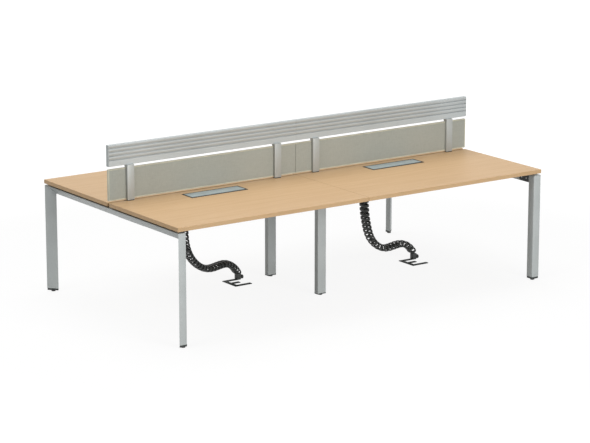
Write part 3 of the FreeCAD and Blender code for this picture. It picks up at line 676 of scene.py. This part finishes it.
for side in ("left", "right"):
    bm = bmesh.new()
    face = railFace(toolRail)
    outline = [(-y, z) for y, z in face] + face[::-1]
    slab(bm, outline, "x", toolRail["start"], toolRail["end"] - toolRail["start"])
    if side == "left":
        mirrored(bm, "x")
    ship(side + "_slat_rail", bm, aluminium, "desk", "silver_aluminium", side + "_tool_rail")
print("tool rail made")

# cable spines: clip, foot and route of each, as shares of the way in X and in Y and of the clip's height
spineRoutes = {
    "left": {
        "clip": (-784.99, 112, 575), "foot": (-226.99, 331),
        "shares": [
            (0, 0, 1), (0.016, 0.05, 0.745), (0.062, 0.145, 0.555), (0.153, 0.26, 0.393),
            (0.292, 0.37, 0.255), (0.458, 0.49, 0.18), (0.622, 0.61, 0.178), (0.778, 0.73, 0.17),
            (0.9, 0.85, 0.105), (1, 1, 0),
        ],
    },
    "right": {
        "clip": (598.08, 58, 575), "foot": (1046.08, 90),
        "shares": [
            (0, 0, 1), (0.011, 0.1, 0.798), (0.032, 0.2, 0.629), (0.074, 0.3, 0.472),
            (0.132, 0.4, 0.331), (0.256, 0.5, 0.202), (0.437, 0.6, 0.129), (0.624, 0.7, 0.141),
            (0.816, 0.8, 0.136), (0.94, 0.9, 0.067), (1, 1, 0),
        ],
    },
}
spine = {
    "pitch": 31, "footShift": 8, "ballHeight": 50, "fineSteps": 80,
    "length": 84, "depth": 46, "wall": 8, "start": -1.5, "end": 15, "squareness": 2.2,
    "halves": ((90, 87.5), (270, 87.5)), "halfSteps": 22, "rim": 2.6, "rimSteps": 2,
    "web": 5, "webInset": 3, "webEase": 0.8, "columnSteps": 14,
    "column": [
        (0, 0), (4, 0), (4.6, 0.5), (4.8, 1.4), (4.8, 9), (4.4, 10.4), (3.4, 11.2),
        (2.8, 12), (2.4, 14), (2.4, 26), (3.2, 28), (3.6, 30), (0, 30.5),
    ],
}


def distancesAlong(points):
    steps = numpy.linalg.norm(numpy.diff(points, axis=0), axis=1)
    return numpy.append(0, numpy.cumsum(steps))


# slope that the cubic through the first four points has at the first
def endSlope(points, knots):
    slope = numpy.zeros(3)
    for here in range(4):
        others = [k for k in range(4) if k != here]
        if here == 0:
            weight = sum(1 / (knots[0] - knots[k]) for k in others)
        else:
            weight = math.prod(knots[0] - knots[k] for k in others if k)
            weight /= math.prod(knots[here] - knots[k] for k in others)
        slope += weight * points[here]
    return slope


# slopes at all points, such that the bend changes smoothly
def smoothSlopes(points, knots):
    count = len(points)
    weights, sums = numpy.eye(count), numpy.zeros((count, 3))
    sums[0] = endSlope(points, knots)
    sums[-1] = endSlope(points[::-1], knots[::-1])
    for k in range(1, count - 1):
        before, after = knots[k] - knots[k - 1], knots[k + 1] - knots[k]
        weights[k, k - 1:k + 2] = after, 2 * (before + after), before
        sums[k] = 3 * after / before * (points[k] - points[k - 1])
        sums[k] += 3 * before / after * (points[k + 1] - points[k])
    return numpy.linalg.solve(weights, sums)


# ball centres, evenly spaced along a smooth route from clip to foot
def spineStations(route, look):
    clip, shares = numpy.array(route["clip"]), numpy.array(route["shares"])
    ball = numpy.array((route["foot"][0] - look["footShift"], route["foot"][1], look["ballHeight"]))
    shares[:, 2] = 1 - shares[:, 2]
    points = clip + shares * (ball - clip)
    knots = distancesAlong(points)
    slopes = smoothSlopes(points, knots)
    fine = []
    for k in range(len(points) - 1):
        for number in range(look["fineSteps"]):
            u = number / look["fineSteps"]
            bend = u * (1 - u) * ((1 - u) * slopes[k] - u * slopes[k + 1])
            rise = u * u * (3 - 2 * u) * (points[k + 1] - points[k])
            fine.append(points[k] + rise + (knots[k + 1] - knots[k]) * bend)
    fine = numpy.array(fine + [points[-1]])
    lengths = distancesAlong(fine)
    spots = numpy.linspace(0, lengths[-1], round(lengths[-1] / look["pitch"]) + 1)
    x, y, z = (numpy.interp(spots, lengths, fine[:, axis]) for axis in range(3))
    return [Vector(spot) for spot in zip(x, y, z)]


# stretch of a squared oval, spread to both sides of a middle angle
def ovalArc(length, depth, middle, spread, look):
    points = []
    power = 2 / look["squareness"]
    for number in range(look["halfSteps"] + 1):
        angle = math.radians(middle + spread * (2 * number / look["halfSteps"] - 1))
        x, y = math.cos(angle), math.sin(angle)
        u, v = math.copysign(abs(x) ** power, x), math.copysign(abs(y) ** power, y)
        points.append((u * length / 2, v * depth / 2))
    return points


def spineLink(look):
    bm = bmesh.new()
    wall = look["wall"]
    for middle, spread in look["halves"]:
        outer = ovalArc(look["length"], look["depth"], middle, spread, look)
        inner = ovalArc(look["length"] - 2 * wall, look["depth"] - 2 * wall, middle, spread, look)
        half = bmesh.new()
        verts = slab(half, outer + inner[::-1], "z", look["start"], look["end"] - look["start"])
        ease(half, [e for e in edgesOf(verts) if not isUpright(e)], look["rim"], look["rimSteps"])
        copyInto(bm, half)
        half.free()
    thick, reach = look["web"] / 2, (look["depth"] - wall) / 2
    low, high = look["start"] + look["webInset"], look["end"] - look["webInset"]
    softBlock(bm, (-thick, -reach, low), (thick, reach, high), look["webEase"], 1)
    turned(bm, look["column"], look["columnSteps"])
    return bm


link = spineLink(spine)
for side, route in spineRoutes.items():
    chain = bmesh.new()
    stations = spineStations(route, spine)
    for here, ahead in zip(stations, stations[1:]):
        copyInto(chain, link, aimed(here, ahead - here))
    ship(side + "_spine_chain", chain, spinePlastic, "desk", "spine_plastic", side + "_spine_links")
link.free()

# spine feet: upright block with a tilted cup, a side knob, and the floor plate under it
foot = {
    "size": 34, "bottom": 4, "top": 42, "rounding": 4, "roundingSteps": 4, "knobLevel": 16, "cupSteps": 20,
    "cup": [(0, -3), (9.5, -3), (11.2, -2.4), (12, -0.8), (12, 14), (0, 14)],
}
plate = {"reach": 130, "depth": 160, "bar": 26, "middle": 84, "overhang": 14, "thickness": 5, "rounding": 1.2}
knob = {
    "profile": [
        (0, 21), (9.5, 21), (12.2, 20.3), (13.4, 18.6), (13.6, 12.2),
        (12.6, 10.4), (9, 10), (4.2, 9), (4, -14), (0, -14),
    ],
    "steps": 36, "flutes": 12, "flute": 0.9, "fluteWidth": 0.1, "gripFrom": 7,
}


def knobShape(look):
    bm = bmesh.new()
    turned(bm, look["profile"], look["steps"])
    dents = []
    for vert in bm.verts:
        angle = math.atan2(vert.co.y, vert.co.x) * look["flutes"] / (2 * math.pi)
        if vert.co.xy.length > look["gripFrom"] and abs(angle - round(angle)) < look["fluteWidth"]:
            dents.append(vert)
    bmesh.ops.scale(bm, vec=(look["flute"], look["flute"], 1), verts=dents)
    return bm


feet, plates = bmesh.new(), bmesh.new()
for side, route in spineRoutes.items():
    footX, footY = route["foot"]
    half = foot["size"] / 2
    low = (footX - half, footY - half, foot["bottom"])
    high = (footX + half, footY + half, foot["top"])
    softBlock(feet, low, high, foot["rounding"], foot["roundingSteps"])
    cup = bmesh.new()
    turned(cup, foot["cup"], foot["cupSteps"])
    before, last = spineStations(route, spine)[-2:]
    copyInto(feet, cup, aimed(last, last - before))
    cup.free()
    tip, far = footX + plate["overhang"], footY + plate["bar"] / 2
    back, near, bar = tip - plate["reach"], far - plate["depth"], plate["bar"]
    mid = (far + near) / 2
    outline = [
        (back, near), (tip, near), (tip, near + bar), (back + bar, near + bar),
        (back + bar, mid - bar / 2), (back + plate["middle"], mid - bar / 2),
        (back + plate["middle"], mid + bar / 2), (back + bar, mid + bar / 2),
        (back + bar, far - bar), (tip, far - bar), (tip, far), (back, far),
    ]
    sheet = bmesh.new()
    ease(sheet, edgesOf(slab(sheet, outline, "z", 0, plate["thickness"])), plate["rounding"], 2)
    copyInto(plates, sheet)
    sheet.free()
    grip = knobShape(knob)
    turnedKnob = bmesh.new()
    copyInto(turnedKnob, grip, aimed((footX + half, footY, foot["knobLevel"]), (1, 0, 0)))
    grip.free()
    ship(side + "_knob_grip", turnedKnob, spinePlastic, side + "_knob", "spine_plastic", side + "_spine_knob")
ship("spine_foot_blocks", feet, spinePlastic, "desk", "spine_plastic", "spine_feet")
ship("floor_plates", plates, plateCoat, "desk", "floor_plate", "spine_floor_plates")
print("spines made")

# stage: pale floor, near white to the camera, with the object's soft shadow; plain white farther out
stage = {
    "floor": 40, "dull": (0.5, 0.5, 0.5, 1), "pale": (0.52, 0.52, 0.52, 1), "patches": 3,
    "glow": 0.8, "brightness": 1.12, "white": (1, 1, 1, 1), "near": 2.4, "far": 4.5, "ambient": 0.28,
}
floorMesh = bpy.data.meshes.new("floor")
bm = bmesh.new()
bmesh.ops.create_grid(bm, x_segments=1, y_segments=1, size=stage["floor"])
bm.to_mesh(floorMesh)
bm.free()
floor = bpy.data.objects.new("floor", floorMesh)
bpy.context.scene.collection.objects.link(floor)


# light path share: 1 for what the camera sees, straight or mirrored
def seenShare(wire):
    seen = wire.add("ShaderNodeLightPath", output="Is Camera Ray")
    paths = seen.socket.node.outputs
    return seen + Wire(wire.tree, paths["Is Glossy Ray"]) + Wire(wire.tree, paths["Is Transmission Ray"])


floorLook = Finish("paleFloor")
wire = floorLook.wire
distance = wire.add("ShaderNodeVectorMath", {"operation": "LENGTH"}, {0: floorLook.place}, "Value")
grain = floorLook.noise(floorLook.place, stage["patches"], 2)
tint = floorLook.mix(grain, stage["dull"], stage["pale"])
matte = wire.add("ShaderNodeBsdfDiffuse", None, {"Color": tint}, "BSDF")
light = {"Color": stage["white"], "Strength": stage["brightness"]}
glow = wire.add("ShaderNodeEmission", None, light, "Emission")
outward = floorLook.step(distance, stage["near"], stage["far"])
share = seenShare(wire) * (stage["glow"] + (1 - stage["glow"]) * outward)
blend = wire.add("ShaderNodeMixShader", None, {0: share, 1: matte, 2: glow}, "Shader")
floorLook.tree.links.new(blend.socket, floorLook.tree.nodes["Material Output"].inputs["Surface"])
floorLook.tree.nodes.remove(floorLook.shader)
floorMesh.materials.append(floorLook.material)

world = bpy.data.worlds.new("studio")
bpy.context.scene.world = world
world.use_nodes = True
wire = Wire(world.node_tree)
strength = stage["ambient"] + (1 - stage["ambient"]) * seenShare(wire)
background = world.node_tree.nodes["Background"]
background.inputs["Color"].default_value = stage["white"]
world.node_tree.links.new(strength.socket, background.inputs["Strength"])

# lamps: a low broad front, a wide soft top and a weak fill from the left
lamps = {
    "front": {"place": (0.4, -8.9, 2.9), "size": 4.0, "power": 485},
    "top": {"place": (0.3, 1.6, 7.0), "size": 6.0, "power": 300},
    "fill": {"place": (-6.0, -1.0, 6.0), "size": 4.0, "power": 150},
}
lampTarget = Vector((0, 0, 0.6))
for name, look in lamps.items():
    data = bpy.data.lights.new(name, "AREA")
    data.shape = "SQUARE"
    data.size = look["size"]
    data.energy = look["power"]
    lamp = bpy.data.objects.new(name, data)
    lamp.location = look["place"]
    lamp.rotation_euler = (lampTarget - Vector(look["place"])).to_track_quat("-Z", "Y").to_euler()
    bpy.context.scene.collection.objects.link(lamp)

# camera: fitted to the photograph
view = {
    "place": (-8.79156, -12.53365, 4.14759), "down": 13.6603, "round": 35.0477, "lens": 148.2004,
    "sensor": 36, "farthest": 200,
}
data = bpy.data.cameras.new("camera")
data.lens = view["lens"]
data.sensor_width = view["sensor"]
data.clip_end = view["farthest"]
camera = bpy.data.objects.new("camera", data)
camera.location = view["place"]
camera.rotation_euler = (math.radians(90 - view["down"]), 0, math.radians(-view["round"]))
bpy.context.scene.collection.objects.link(camera)
bpy.context.scene.camera = camera
bpy.context.scene.view_settings.view_transform = "Standard"
print("stage, lamps and camera set")
